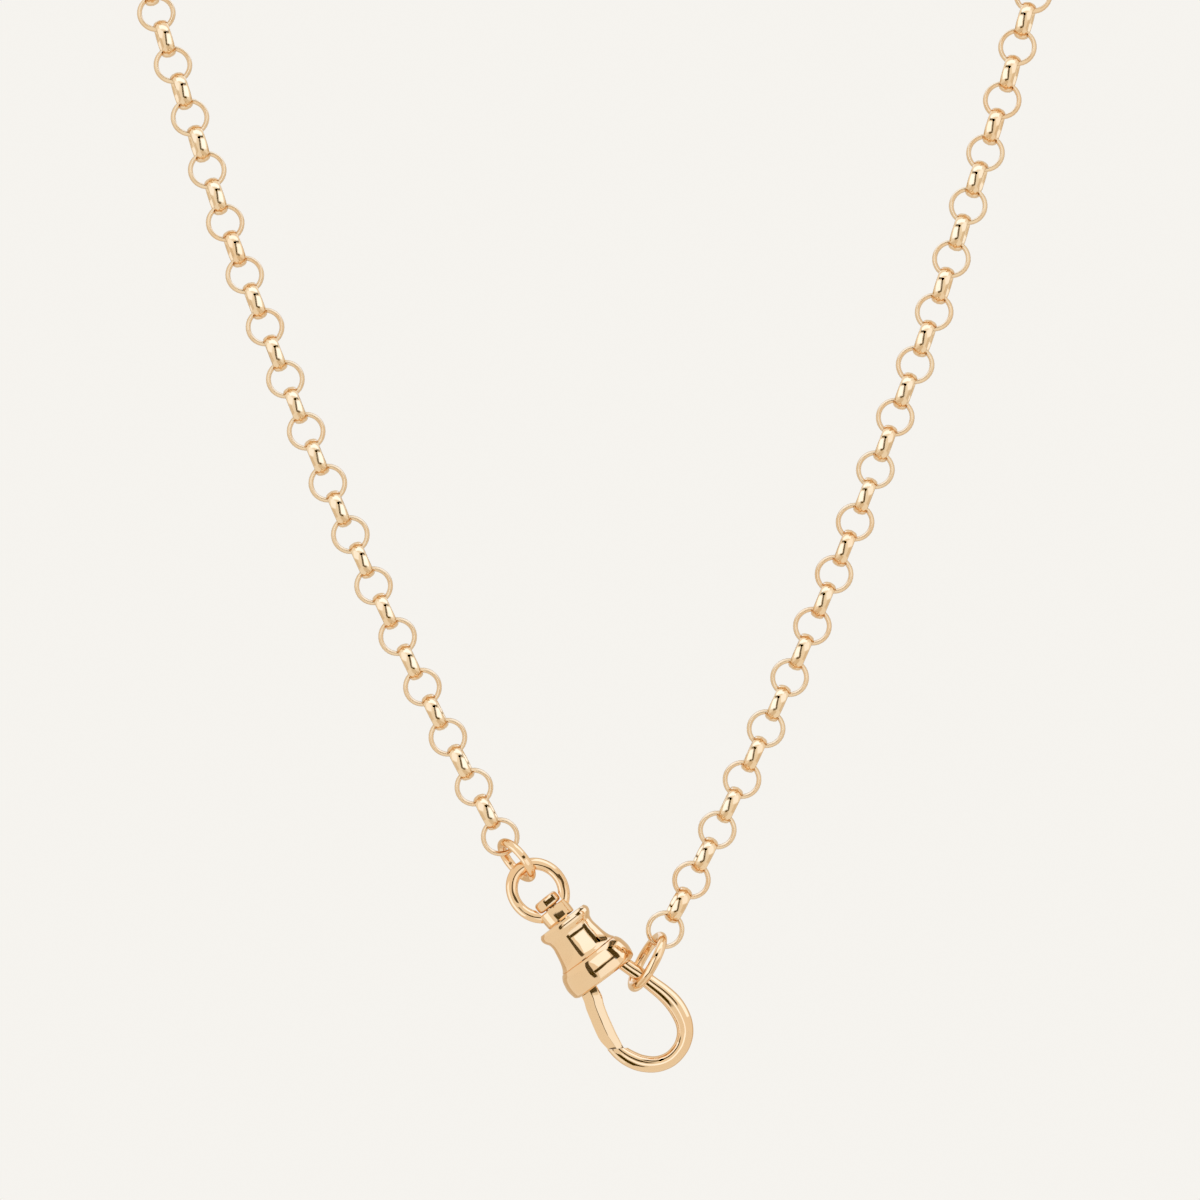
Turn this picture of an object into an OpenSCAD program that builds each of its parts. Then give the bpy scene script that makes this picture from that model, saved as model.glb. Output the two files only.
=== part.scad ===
// Rolo chain necklace, closed at the front by a swivel clasp.
// +Z is up and the front faces -Y. The origin is the middle of the chain, where it lies on the nape.

/* [Chain] */
// Outside diameter of a round link
link_od = 3.18; // [2.9:0.02:3.4]
// Thickness of a link's band at its middle
link_wall = 0.35; // [0.32:0.01:0.42]
// Width of a link's band
link_width = 1.08; // [0.9:0.02:1.2]
// Rise of the domed outside of the band
link_dome = 0.14; // [0.1:0.01:0.17]
// Rise of the rounded inside of the band
link_belly = 0.13; // [0.1:0.01:0.14]
// Free play between links and rings that hang in each other
play = 0.13; // [0.1:0.01:0.16]
// Slack of each link in the next, beyond that play
link_slack = 0.04; // [0.02:0.01:0.08]

/* [Jump rings] */
// Outside diameter of the small ring at the swivel
left_ring_od = 4.3; // [4:0.05:4.8]
// Wire of the small ring
left_ring_wire = 0.74; // [0.6:0.02:0.84]
// Lean from upright of the line through the small ring, in degrees
left_ring_lean = 35; // [30:1:44]
// Skew of the small ring from that line, in degrees
left_ring_skew = 4; // [0:1:6]
// Turn of the small ring out of the edge-on view, in degrees
left_ring_turn = 20; // [0:1:30]
// Slack of the end link in the small ring, beyond the play, because the ring is turned
left_ring_slack = 0.13; // [0.08:0.01:0.18]
// Outside diameter of the large ring on the hook
right_ring_od = 5.5; // [5.2:0.05:6]
// Wire of the large ring
right_ring_wire = 0.8; // [0.7:0.02:0.9]
// Lean from upright of the line through the large ring, in degrees
right_ring_lean = 29; // [27:1:35]
// Turn of the large ring out of the edge-on view, in degrees
right_ring_turn = 12; // [0:1:16]
// Place of the large ring, down from the barrel along the clasp
right_ring_drop = 1.5; // [1.45:0.05:2]

/* [Clasp] */
// Lean of the clasp's axis from upright, in degrees
clasp_lean = 37; // [33:1:40]
// Height of the barrel
barrel_h = 5.9; // [5.6:0.05:6.4]
// Diameter of the barrel at its bulge
barrel_d = 6.26; // [6.1:0.02:6.6]
// Depth of the hook below the barrel, to the middle of its wire
bow_drop = 8.5; // [8:0.1:9.2]
// Reach of the hook to the side, to the middle of its wire
bow_reach = 3.22; // [3.1:0.02:3.4]
// Wire of the hook at its thickest
hook_wire = 1.46; // [1.3:0.02:1.5]
// Slant of the cut where the gate meets the hook, in degrees
nose_slant = 32; // [25:1:38]

/* [Gate] */
// Width of the gate across the front
gate_width = 1.5; // [1.3:0.02:1.54]
// Thickness of the gate from front to back
gate_depth = 1.2; // [1:0.02:1.3]
// Distance of the gate's hinge from the barrel's axis
hinge_side = 1.6; // [1.56:0.02:1.7]
// Height of the gate's hinge above the barrel's lower face
hinge_up = 0.76; // [0.7:0.02:0.9]
// Diameter of the hinge pin
pin_d = 0.5; // [0.4:0.02:0.6]
// Running clearance round the pin in the gate
pin_run = 0.05; // [0.03:0.01:0.08]
// Swing of the open gate that the slot leaves room for, in degrees
gate_swing = 25; // [20:1:28]

/* [Swivel] */
// Outside diameter of the swivel ring
swivel_od = 5; // [4.8:0.05:5.4]
// Wire of the swivel ring at its sides
swivel_wire = 0.94; // [0.8:0.02:1.1]
// Height of the oval swivel ring as a share of its width
swivel_oval = 1.13; // [1:0.01:1.2]
// Tilt of the swivel ring and its rivet on the barrel, in degrees
swivel_tilt = 2; // [0:0.5:2.5]
// Diameter of the boss under the swivel ring
boss_d = 2.65; // [2.5:0.05:2.9]
// Height of the boss
boss_h = 1.22; // [1.1:0.02:1.5]
// Depth that the rivet's seat is sunk in the swivel ring
seat_sink = 0.04; // [0:0.02:0.2]
// Diameter of the rivet's head
rivet_head_d = 2.14; // [1.9:0.02:2.3]
// Height of the rivet's head
rivet_head_h = 0.92; // [0.8:0.02:1]
// Diameter of the rivet's shank
rivet_d = 1.1; // [0.9:0.05:1.2]
// Depth of the rivet's shank in the barrel
rivet_depth = 1.2; // [1:0.05:1.6]
// Gap between the clasp's pieces
seat_gap = 0.1; // [0.08:0.01:0.12]

/* [Hidden] */
gold = [0.91, 0.77, 0.58];

// Middle of the barrel's lower face
clasp_at = [0.7, -82, -142.2];

// Chosen points of the chain's route from the left end over the nape to the right end.
// Columns: x, y, z, and the way the flat-lying links face, in degrees round Z from the front.
chain_route = [
    [-12.2, -82.0, -122.5, -2],
    [-16.3, -81.9, -114.3, 0],
    [-20.2, -81.7, -105.9, 0],
    [-23.8, -81.4, -97.5, 0],
    [-27.2, -80.9, -88.9, 3],
    [-30.5, -80.1, -80.3, 7],
    [-33.4, -79.0, -71.7, 7],
    [-36.2, -77.5, -63.1, 6],
    [-41.0, -73.2, -48.3, -8],
    [-45.9, -65.0, -34.0, -34],
    [-49.7, -52.3, -21.4, -62],
    [-50.7, -37.0, -12.0, -90],
    [-46.0, -21.3, -5.2, -117],
    [-34.8, -8.8, -1.6, -143],
    [-18.2, -1.8, -0.3, -166],
    [0, 0, 0, -180],
    [18.2, -1.8, -0.3, -194],
    [34.8, -8.8, -1.6, -217],
    [46.0, -21.3, -5.2, -243],
    [50.7, -37.0, -12.0, -270],
    [49.7, -52.3, -21.4, -298],
    [45.7, -65.0, -33.5, -326],
    [40.6, -73.2, -47.3, -352],
    [35.8, -77.5, -61.7, -366],
    [33.2, -79.0, -70.5, -367],
    [30.4, -80.1, -79.1, -367],
    [27.6, -80.9, -87.8, -367],
    [24.4, -81.4, -96.4, -363],
    [21.1, -81.7, -105.0, -360],
    [17.6, -81.9, -113.5, -360],
    [13.8, -82.0, -121.9, -360],
    [9.8, -82.0, -130.2, -357],
];
// The way that the end links face
left_end_facing = -3;
right_end_facing = -354;
// Places along the route that are worked out between two chosen points
route_steps = 12;

// Half section of the barrel from its lower rim up, as shares of its radius and height
barrel_rows = [
    [0.86, 0.000], [0.95, 0.030], [0.98, 0.080], [1.00, 0.165], [0.985, 0.240],
    [0.95, 0.315], [0.885, 0.375], [0.80, 0.425], [0.745, 0.480], [0.70, 0.560],
    [0.665, 0.660], [0.64, 0.745], [0.655, 0.820], [0.715, 0.870], [0.752, 0.915],
    [0.75, 0.960], [0.70, 1.000],
];
// The hook from inside the barrel round to its nose.
// Columns: side as a share of bow_reach, depth as a share of bow_drop, wire as a share of hook_wire.
bow_rows = [
    [0.52, -0.10, 0.80], [0.66, 0.07, 0.80], [0.75, 0.17, 0.82], [0.85, 0.31, 0.87],
    [0.95, 0.45, 0.94], [1.00, 0.58, 1.00], [0.98, 0.70, 1.00], [0.90, 0.81, 0.96],
    [0.73, 0.905, 0.92], [0.45, 0.975, 0.89], [0.08, 1.00, 0.89], [-0.28, 0.96, 0.91],
    [-0.56, 0.87, 0.95], [-0.73, 0.77, 0.96], [-0.83, 0.67, 0.91], [-0.87, 0.58, 0.83],
];
// The gate from under its hinge to its tip, with the same columns and its width as a share
gate_rows = [
    [-0.56, 0.07, 1.02], [-0.65, 0.16, 1.00], [-0.725, 0.26, 0.98],
    [-0.79, 0.36, 0.99], [-0.84, 0.455, 0.97], [-0.85, 0.54, 0.85], [-0.86, 0.62, 0.74],
];
// Place of the cut between gate and nose, with the first two columns
nose_row = [-0.872, 0.604];
// Sides of a swept bar, and places worked out between two rows of its path and of the barrel
sweep_sides = 18;
row_steps = 4;
barrel_steps = 3;

link_in = link_od / 2 - link_wall;
link_edge = link_in + link_belly;
link_pitch = min(2 * link_in, 2 * sqrt(pow(link_edge, 2) - pow(link_width / 2, 2))) - play - link_slack;
boss_z = barrel_h + seat_gap + boss_d / 2 * sin(swivel_tilt);
seat_z = boss_z + boss_h;
swivel_hole = swivel_od / 2 - swivel_wire;
swivel_z = seat_z + seat_sink + swivel_hole * swivel_oval;

// A point that steps through a list of rows as a smooth curve
function curve(rows, t) =
    let (n = len(rows) - 1, i = min(floor(t), n - 1), u = t - i)
    let (a = rows[max(i - 1, 0)], b = rows[i], c = rows[i + 1], d = rows[min(i + 2, n)])
    (2 * b + (c - a) * u + (2 * a - 5 * b + 4 * c - d) * u * u + (3 * b - a - 3 * c + d) * u * u * u) / 2;
function smooth(rows, steps) =
    [for (i = [0 : (len(rows) - 1) * steps]) curve(rows, i / steps)];
function unit(v) = v / norm(v);

// A point of the clasp, given across and up from the middle of the barrel's lower face
function clasp_point(across, up) =
    clasp_at + [across * cos(clasp_lean) - up * sin(clasp_lean), 0,
                across * sin(clasp_lean) + up * cos(clasp_lean)];
function bow_point(row) = [row[0] * bow_reach, -row[1] * bow_drop];

// Small ring: it hangs in the swivel ring, and the left end link hangs in it
left_way = [-sin(left_ring_lean), 0, cos(left_ring_lean)];
left_ring_in = left_ring_od / 2 - left_ring_wire;
swivel_at = clasp_point(-(swivel_z - barrel_h) * sin(swivel_tilt), barrel_h + (swivel_z - barrel_h) * cos(swivel_tilt));
left_ring_at = swivel_at + left_way * (swivel_hole * swivel_oval + left_ring_in - play);
left_end = left_ring_at + left_way * (left_ring_in + link_in - play - left_ring_slack);

// Large ring: it hangs on the hook, and the right end link hangs in it
right_way = [sin(right_ring_lean), 0, cos(right_ring_lean)];
right_ring_in = right_ring_od / 2 - right_ring_wire;
bow_path = [for (row = smooth(bow_rows, row_steps)) concat(bow_point(row), row[2] * hook_wire)];
bow_by_depth = [for (p = bow_path) if (p[0] > 0 && p[1] > -bow_drop / 2) [-p[1], p[0]]];
bow_wire_by_depth = [for (p = bow_path) if (p[0] > 0 && p[1] > -bow_drop / 2) [-p[1], p[2]]];
hang_at = clasp_point(lookup(right_ring_drop, bow_by_depth), -right_ring_drop);
hang_wire = lookup(right_ring_drop, bow_wire_by_depth);
right_ring_at = hang_at + right_way * (right_ring_in - hang_wire / 2 - play);
right_end = right_ring_at + right_way * (right_ring_in + link_in - play);

// The whole route, its running length, and the links spread evenly along it
route = smooth(concat([concat(left_end, left_end_facing)], chain_route, [concat(right_end, right_end_facing)]), route_steps);
function place(v) = [v[0], v[1], v[2]];
route_run = [for (i = 0, s = 0; i < len(route);
                  i = i + 1, s = s + (i < len(route) ? norm(place(route[i]) - place(route[i - 1])) : 0)) s];
route_length = route_run[len(route_run) - 1];
link_steps = 2 * ceil(route_length / link_pitch / 2);
route_by_run = [for (k = [0 : 3]) [for (i = [0 : len(route) - 1]) [route_run[i], route[i][k]]]];
function on_route(s) = [for (k = [0 : 3]) lookup(s, route_by_run[k])];
spots = [for (i = [0 : link_steps]) on_route(route_length * i / link_steps)];

// Cuts that meet a flat face run past it by this much
slip = 0.02;
nose = bow_point(nose_row);

// Half sections of a link's band, outside and inside.
// Columns: shares of its half width, and of the rise of the dome or belly.
dome_rows = [[0.2, 0], [0.6, 0.3], [1, 1]];
belly_rows = [[0.28, 0], [1, 1]];
function flipped(points) = [for (p = points) [p[0], -p[1]]];
function backwards(points) = [for (i = [len(points) - 1 : -1 : 0]) points[i]];

// A round link with its hole along Z
module link() {
    half = link_width / 2;
    outside = [for (row = dome_rows) [link_od / 2 - row[1] * link_dome, row[0] * half]];
    inside = [for (row = belly_rows) [link_in + row[1] * link_belly, row[0] * half]];
    rotate_extrude($fn = 32)
        polygon(concat(outside, backwards(inside), flipped(inside), backwards(flipped(outside))));
}

// Places its children with their X along one direction and their Z along another
module aim(at, along, up) {
    side = cross(up, along);
    multmatrix([[along[0], side[0], up[0], at[0]],
                [along[1], side[1], up[1], at[1]],
                [along[2], side[2], up[2], at[2]]])
        children();
}

// Some of the links, each turned a quarter from the next
module links(first, last) {
    for (i = [first : last]) {
        along = unit(place(spots[min(i + 1, link_steps)]) - place(spots[max(i - 1, 0)]));
        turn = spots[i][3];
        out = [sin(turn), -cos(turn), 0];
        face = unit(out - along * (out * along));
        aim(place(spots[i]), along, i % 2 == 0 ? face : cross(along, face))
            link();
    }
}

module chain_left() {
    color(gold)
        links(0, link_steps / 2);
}

module chain_right() {
    color(gold)
        links(link_steps / 2 + 1, link_steps);
}

// A ring of round wire with its hole along Z
module ring(od, wire) {
    rotate_extrude($fn = 64)
        translate([(od - wire) / 2, 0])
            circle(d = wire, $fn = 32);
}

// A ring seen nearly edge-on, leaning to one side in the front view
module edge_on_ring(at, lean, turn, od, wire) {
    way = [sin(lean), 0, cos(lean)];
    right = [cos(lean), 0, -sin(lean)];
    aim(at, way, right * cos(turn) + [0, 1, 0] * sin(turn))
        ring(od, wire);
}

module jump_ring_left() {
    color(gold)
        edge_on_ring(left_ring_at, -left_ring_lean - left_ring_skew, left_ring_turn, left_ring_od, left_ring_wire);
}

module jump_ring_right() {
    color(gold)
        edge_on_ring(right_ring_at, right_ring_lean, right_ring_turn, right_ring_od, right_ring_wire);
}

// Places the clasp's pieces, which are drawn upright round the barrel's axis
module on_clasp() {
    translate(clasp_at)
        rotate([0, -clasp_lean, 0])
            children();
}

// Tilts the ring, the rivet and its bore, which stand a little askew on the barrel
module askew() {
    translate([0, 0, barrel_h])
        rotate([0, -swivel_tilt, 0])
            translate([0, 0, -barrel_h])
                children();
}

module swivel_ring() {
    color(gold)
        on_clasp() askew()
            difference() {
                union() {
                    translate([0, 0, swivel_z])
                        scale([1, 1, swivel_oval])
                            rotate([90, 0, 0])
                                ring(swivel_od, swivel_wire);
                    translate([0, 0, boss_z])
                        cylinder(d = boss_d, h = boss_h, $fn = 48);
                }
                translate([0, 0, seat_z])
                    cylinder(d = rivet_head_d + 2 * seat_gap, h = rivet_head_h + seat_gap, $fn = 48);
                translate([0, 0, boss_z - slip])
                    cylinder(d = rivet_d + 2 * seat_gap, h = boss_h + 2 * slip, $fn = 48);
            }
}

// Rounding of the rivet's head as a share of its height
crown_share = 0.3;

module swivel_rivet() {
    crown = rivet_head_h * crown_share;
    color(gold)
        on_clasp() askew() {
            translate([0, 0, seat_z + seat_gap])
                rotate_extrude($fn = 48) {
                    translate([0, crown])
                        square([rivet_head_d / 2, rivet_head_h - 2 * crown]);
                    square([rivet_head_d / 2 - crown, rivet_head_h]);
                    for (z = [crown, rivet_head_h - crown])
                        translate([rivet_head_d / 2 - crown, z])
                            circle(r = crown, $fn = 32);
                }
            translate([0, 0, barrel_h - rivet_depth])
                cylinder(d = rivet_d, h = seat_z + 2 * seat_gap - barrel_h + rivet_depth, $fn = 48);
        }
}

// A closed bar swept along points in the XZ plane, each with its own width.
// The section's columns are shares: across the bar in that plane, and from front to back.
module bar(path, section) {
    n = len(section);
    last = len(path) - 1;
    points = [for (i = [0 : last])
        let (a = path[max(i - 1, 0)], b = path[min(i + 1, last)], p = path[i])
        let (t = unit([b[0] - a[0], b[1] - a[1]]))
        for (s = section) [p[0] - t[1] * s[0] * p[2], s[1] * p[2], p[1] + t[0] * s[0] * p[2]]];
    sides = [for (i = [0 : last - 1], k = [0 : n - 1])
        let (q = i * n + k, r = i * n + (k + 1) % n)
        [q, r, r + n, q + n]];
    polyhedron(points, concat([[for (k = [n - 1 : -1 : 0]) k]], sides, [[for (k = [0 : n - 1]) last * n + k]]),
               convexity = 6);
}

// A block on the upper or lower side of the slanted cut between gate and nose
module beyond_cut(upper) {
    block = 2 * gate_width;
    translate([nose[0], 0, nose[1]])
        rotate([0, nose_slant, 0])
            translate([-block / 2, -block / 2, upper ? -seat_gap / 2 : seat_gap / 2 - block])
                cube(block);
}

module barrel() {
    profile = [for (row = smooth(barrel_rows, barrel_steps)) [row[0] * barrel_d / 2, row[1] * barrel_h]];
    rotate_extrude($fn = 96)
        polygon(concat([[0, 0]], profile, [[0, barrel_h]]));
}

// Room for the gate's root, from closed to open
module gate_slot() {
    wide = gate_depth + 2 * seat_gap;
    outer = hinge_side + gate_width / 2 + 2 * seat_gap;
    inner = hinge_side - gate_width / 2 - seat_gap - (hinge_up + gate_width / 2) * tan(gate_swing);
    top = hinge_up + gate_width / 2 + seat_gap;
    translate([-outer, -wide / 2, -slip])
        cube([outer - inner, wide, top + slip]);
}

// The hinge pin's line, run through from the back
module pin_line(d, front, back) {
    translate([-hinge_side, back, hinge_up])
        rotate([90, 0, 0])
            cylinder(d = d, h = back - front, $fn = 32);
}

pin_front = -gate_depth / 2 - seat_gap - pin_d;
pin_back = sqrt(pow(barrel_d / 2, 2) - pow(hinge_side, 2)) - 2 * seat_gap;

module clasp_body() {
    round_section = [for (k = [0 : sweep_sides - 1]) let (a = 360 * k / sweep_sides) [cos(a), sin(a)] / 2];
    color(gold)
        on_clasp()
            difference() {
                union() {
                    barrel();
                    difference() {
                        bar(bow_path, round_section);
                        beyond_cut(true);
                    }
                }
                gate_slot();
                pin_line(pin_d + seat_gap / 2, pin_front - slip, barrel_d);
                askew()
                    translate([0, 0, barrel_h - rivet_depth - seat_gap])
                        cylinder(d = rivet_d + seat_gap, h = rivet_depth + 2 * seat_gap, $fn = 48);
            }
}

// Squareness of the gate's section, where 1 is an ellipse, and the width of its root as a share
squareness = 0.7;
root_width = 0.94;
function squared(c) = sign(c) * pow(abs(c), squareness);

module gate() {
    flat = gate_depth / gate_width;
    section = [for (k = [0 : sweep_sides - 1]) let (a = 360 * k / sweep_sides)
        [squared(cos(a)), flat * squared(sin(a))] / 2];
    rows = concat([[-hinge_side / bow_reach, -hinge_up / bow_drop, root_width]], gate_rows);
    path = [for (row = smooth(rows, row_steps)) concat(bow_point(row), row[2] * gate_width)];
    color(gold)
        on_clasp()
            difference() {
                union() {
                    bar(path, section);
                    pin_line(gate_width, -gate_depth / 2, gate_depth / 2);
                }
                beyond_cut(false);
                pin_line(pin_d + 2 * pin_run, -gate_depth, gate_depth);
            }
}

module gate_pin() {
    color(gold)
        on_clasp()
            pin_line(pin_d, pin_front, pin_back);
}

chain_left();
chain_right();
jump_ring_left();
jump_ring_right();
swivel_ring();
swivel_rivet();
clasp_body();
gate();
gate_pin();
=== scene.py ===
"""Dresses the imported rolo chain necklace: gold links, rings and swivel clasp on a plain pale stage."""

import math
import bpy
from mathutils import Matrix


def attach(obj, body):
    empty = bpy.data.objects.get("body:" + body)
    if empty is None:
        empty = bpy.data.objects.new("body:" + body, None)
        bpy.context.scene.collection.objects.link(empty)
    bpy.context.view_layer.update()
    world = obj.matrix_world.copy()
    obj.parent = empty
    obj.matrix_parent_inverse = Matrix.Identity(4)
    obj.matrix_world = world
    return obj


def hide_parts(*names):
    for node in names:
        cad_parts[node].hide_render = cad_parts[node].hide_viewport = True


bl_info = {
    "name": "Rolo Chain Necklace",
    "version": (1, 0, 0),
    "blender": (4, 5, 0),
    "location": "View3D > Sidebar > Rolo Chain",
    "description": "Makes a rolo chain with a swivel clasp, in polished gold",
    "category": "Add Mesh",
}

import bmesh
import bpy
import numpy as np
from mathutils import Matrix, Vector

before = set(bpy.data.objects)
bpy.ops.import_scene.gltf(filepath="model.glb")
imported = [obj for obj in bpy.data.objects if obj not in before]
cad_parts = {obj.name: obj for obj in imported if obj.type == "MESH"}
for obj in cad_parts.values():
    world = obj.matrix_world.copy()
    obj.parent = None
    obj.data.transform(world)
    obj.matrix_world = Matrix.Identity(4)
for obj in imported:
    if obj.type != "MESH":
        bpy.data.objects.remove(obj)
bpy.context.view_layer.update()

MM = 0.001

# Middle of the barrel's lower face, in millimetres
CLASP_AT = (0.7, -82, -142.2)
# Middle of the picture, and the middle of each half of the chain in it, in millimetres
VIEW_MIDDLE = (0.25, -82, -111.2)
LEFT_MIDDLE = (-24, -82, -97)
RIGHT_MIDDLE = (24, -82, -97)

# Chosen points of the chain's route from the left end over the nape to the right end, in millimetres,
# and the way that the flat-lying links face, in degrees round Z from the front.
CHAIN_ROUTE = [
    (-12.2, -82.0, -122.5, -2),
    (-16.3, -81.9, -114.3, 0),
    (-20.2, -81.7, -105.9, 0),
    (-23.8, -81.4, -97.5, 0),
    (-27.2, -80.9, -88.9, 3),
    (-30.5, -80.1, -80.3, 7),
    (-33.4, -79.0, -71.7, 7),
    (-36.2, -77.5, -63.1, 6),
    (-41.0, -73.2, -48.3, -8),
    (-45.9, -65.0, -34.0, -34),
    (-49.7, -52.3, -21.4, -62),
    (-50.7, -37.0, -12.0, -90),
    (-46.0, -21.3, -5.2, -117),
    (-34.8, -8.8, -1.6, -143),
    (-18.2, -1.8, -0.3, -166),
    (0, 0, 0, -180),
    (18.2, -1.8, -0.3, -194),
    (34.8, -8.8, -1.6, -217),
    (46.0, -21.3, -5.2, -243),
    (50.7, -37.0, -12.0, -270),
    (49.7, -52.3, -21.4, -298),
    (45.7, -65.0, -33.5, -326),
    (40.6, -73.2, -47.3, -352),
    (35.8, -77.5, -61.7, -366),
    (33.2, -79.0, -70.5, -367),
    (30.4, -80.1, -79.1, -367),
    (27.6, -80.9, -87.8, -367),
    (24.4, -81.4, -96.4, -363),
    (21.1, -81.7, -105.0, -360),
    (17.6, -81.9, -113.5, -360),
    (13.8, -82.0, -121.9, -360),
    (9.8, -82.0, -130.2, -357),
]
# The same way at the two ends of the route, whose places follow from the clasp
LEFT_END_FACING = -3
RIGHT_END_FACING = -354
# Points of the smooth route from one chosen point to the next
ROUTE_STEPS = 12
# The torus that a link is pressed from: radius and sides, and the sides of its section of radius 1
TORUS_RADIUS = 3.0
LINK_SIDES = 32
BAND_SIDES = 12
# How late the band's dome and belly curve away, and the seed of the links' wobble
DOME_POWER = 2.2
WOBBLE_SEED = 7

# Half section of the barrel from its lower rim up, as shares of its radius and height
BARREL_ROWS = [
    (0.86, 0.000), (0.95, 0.030), (0.98, 0.080), (1.00, 0.165), (0.985, 0.240),
    (0.95, 0.315), (0.885, 0.375), (0.80, 0.425), (0.745, 0.480), (0.70, 0.560),
    (0.665, 0.660), (0.64, 0.745), (0.655, 0.820), (0.715, 0.870), (0.752, 0.915),
    (0.75, 0.960), (0.70, 1.000),
]
# The hook from inside the barrel round to its nose: side as a share of the reach,
# depth as a share of the drop, and wire as a share of the thickest
BOW_ROWS = [
    (0.52, -0.10, 0.80), (0.66, 0.07, 0.80), (0.75, 0.17, 0.82), (0.85, 0.31, 0.87),
    (0.95, 0.45, 0.94), (1.00, 0.58, 1.00), (0.98, 0.70, 1.00), (0.90, 0.81, 0.96),
    (0.73, 0.905, 0.92), (0.45, 0.975, 0.89), (0.08, 1.00, 0.89), (-0.28, 0.96, 0.91),
    (-0.56, 0.87, 0.95), (-0.73, 0.77, 0.96), (-0.83, 0.67, 0.91), (-0.87, 0.58, 0.83),
    (-0.88, 0.50, 0.80),
]
# The gate from under its hinge to its tip, with the same columns and its width as a share
GATE_ROWS = [
    (-0.56, 0.07, 1.02), (-0.65, 0.16, 1.00), (-0.725, 0.26, 0.98),
    (-0.79, 0.36, 0.99), (-0.84, 0.455, 0.97), (-0.85, 0.54, 0.85), (-0.86, 0.62, 0.74),
    (-0.86, 0.70, 0.72),
]
# Width of the gate at its hinge, as a share
GATE_ROOT_WIDTH = 0.94
# Place of the slanted cut between gate and nose, with the same first two columns
NOSE_ROW = (-0.872, 0.604)
# How far the slanted cut reaches, in gate widths
CUT_REACH = 1.6
# The gate's section, as shares of its width: a ridge along its front between two flat faces
GATE_SECTION = [
    (-0.50, -0.15), (0.03, -0.40), (0.42, -0.235), (0.50, -0.17),
    (0.50, 0.32), (0.40, 0.40), (-0.38, 0.40), (-0.50, 0.28),
]
# Roundness of that section's corners as a share of its width, and where the flats beside them start,
# as a share of the roundness
CORNER_SOFTNESS = 0.035
FLAT_START = 0.3

# Points on each side of the barrel's crease, their spacing, and the crease's spread
CREASE_POINTS = 5
CREASE_STEP = 0.012 * MM
CREASE_SPREAD = 0.03 * MM
# The swivel's boss: softness of its edges, height of its bulge as a share, and how far its underside
# goes down into the gap, as a share
BOSS_EDGE = 0.08 * MM
BULGE_UP = 0.55
BOSS_SINK = 0.8
# Depth that the rivet's seat bites into the boss, so that no two faces of the cut lie flush
SEAT_BITE = 0.005 * MM
# Radius of the rivet's crown as a share of its height
CROWN_SHARE = 0.3
# Steps of a bulge or a rounded corner, and sides of the hook's wire
ARC_STEPS = 8
HOOK_SIDES = 48
# Radius below which a turned shape ends in a pole, and the shortest edge that a cut may leave
POLE_RADIUS = 1e-7
SHORTEST_EDGE = 0.0001 * MM
# Width of the alloy's patches in ripples, and of the rubbed places in scratches
PATCH_WIDTH = 1.7
RUB_WIDTH = 5

# Soft lights, black flags and dim shades, as a part of the necklace sees them round itself. In degrees:
# turn to the right from the front, rise, width, height and roll. Then the brightness, which is below zero
# for a flag or a shade. The right half of the chain has the arm's lights mirrored.
ARM_LIGHTS = {
    "side_softbox": (44, 3, 50, 62, 0, 0.75),
    "top_softbox": (-8, 76, 66, 30, 0, 0.8),
    "left_softbox": (-52, 24, 54, 50, 0, 0.4),
    "back_softbox": (152, 34, 34, 40, 0, 0.6),
    "upright_flag": (7, 6, 16, 72, 0, -0.78),
    "top_flag": (24, 46, 54, 12, 6, -0.84),
    "low_flag": (23, -36, 36, 12, 0, -0.76),
    "left_shade": (-62, -30, 50, 50, 0, -0.26),
    "low_shade": (64, -58, 64, 30, 0, -0.3),
    "far_shade": (104, 10, 14, 70, 0, -0.7),
    "backdrop_shade": (180, -6, 110, 90, 0, -0.3),
}
CLASP_LIGHTS = {
    "high_softbox": (29, 32, 56, 40, 0, 0.7),
    "far_softbox": (104, 58, 50, 28, 0, 0.6),
    "side_softbox": (107, 0, 44, 34, 0, 0.7),
    "low_softbox": (30, -26, 76, 34, 0, 0.4),
    "back_softbox": (152, 40, 34, 30, 0, 0.6),
    "left_flag": (-22, 21, 14, 76, 0, -0.82),
    "level_flag": (8, 0, 46, 15, 0, -0.84),
    "thin_flag": (47, 0, 32, 12, 0, -0.84),
    "right_flag": (73, 12, 20, 48, 0, -0.84),
    "far_flag": (106, 31, 42, 18, 0, -0.8),
    "backdrop_shade": (180, -6, 110, 90, 0, -0.38),
}
HOOK_LIGHTS = {
    "front_softbox": (-3, -4, 15, 20, 0, 0.7),
    "side_softbox": (84, 16, 50, 70, 0, 0.75),
    "high_softbox": (10, 78, 70, 34, 0, 0.75),
    "left_softbox": (-86, 6, 34, 60, 0, 0.3),
    "shank_flag": (-42, -15, 36, 30, 0, -0.84),
    "inner_flag": (24, 10, 19, 22, 0, -0.84),
    "bow_flag": (-16, 47, 56, 17, 4, -0.84),
    "bend_flag": (33, 39, 30, 17, -30, -0.84),
    "backdrop_shade": (180, 0, 110, 100, 0, -0.38),
}
SWIVEL_LIGHTS = {
    "side_softbox": (75, 32, 50, 46, 0, 0.8),
    "left_softbox": (-70, 10, 44, 60, 0, 0.7),
    "low_softbox": (10, -36, 70, 30, 0, 0.5),
    "boss_flag": (14, -7, 70, 14, 0, -0.82),
    "backdrop_shade": (180, 0, 110, 100, 0, -0.38),
}


def length(name, description, millimetres):
    """A length that is typed in millimetres and kept in metres."""
    return bpy.props.FloatProperty(
        name=name, description=description, default=millimetres * MM,
        subtype="DISTANCE", unit="LENGTH", precision=5,
    )


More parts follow.
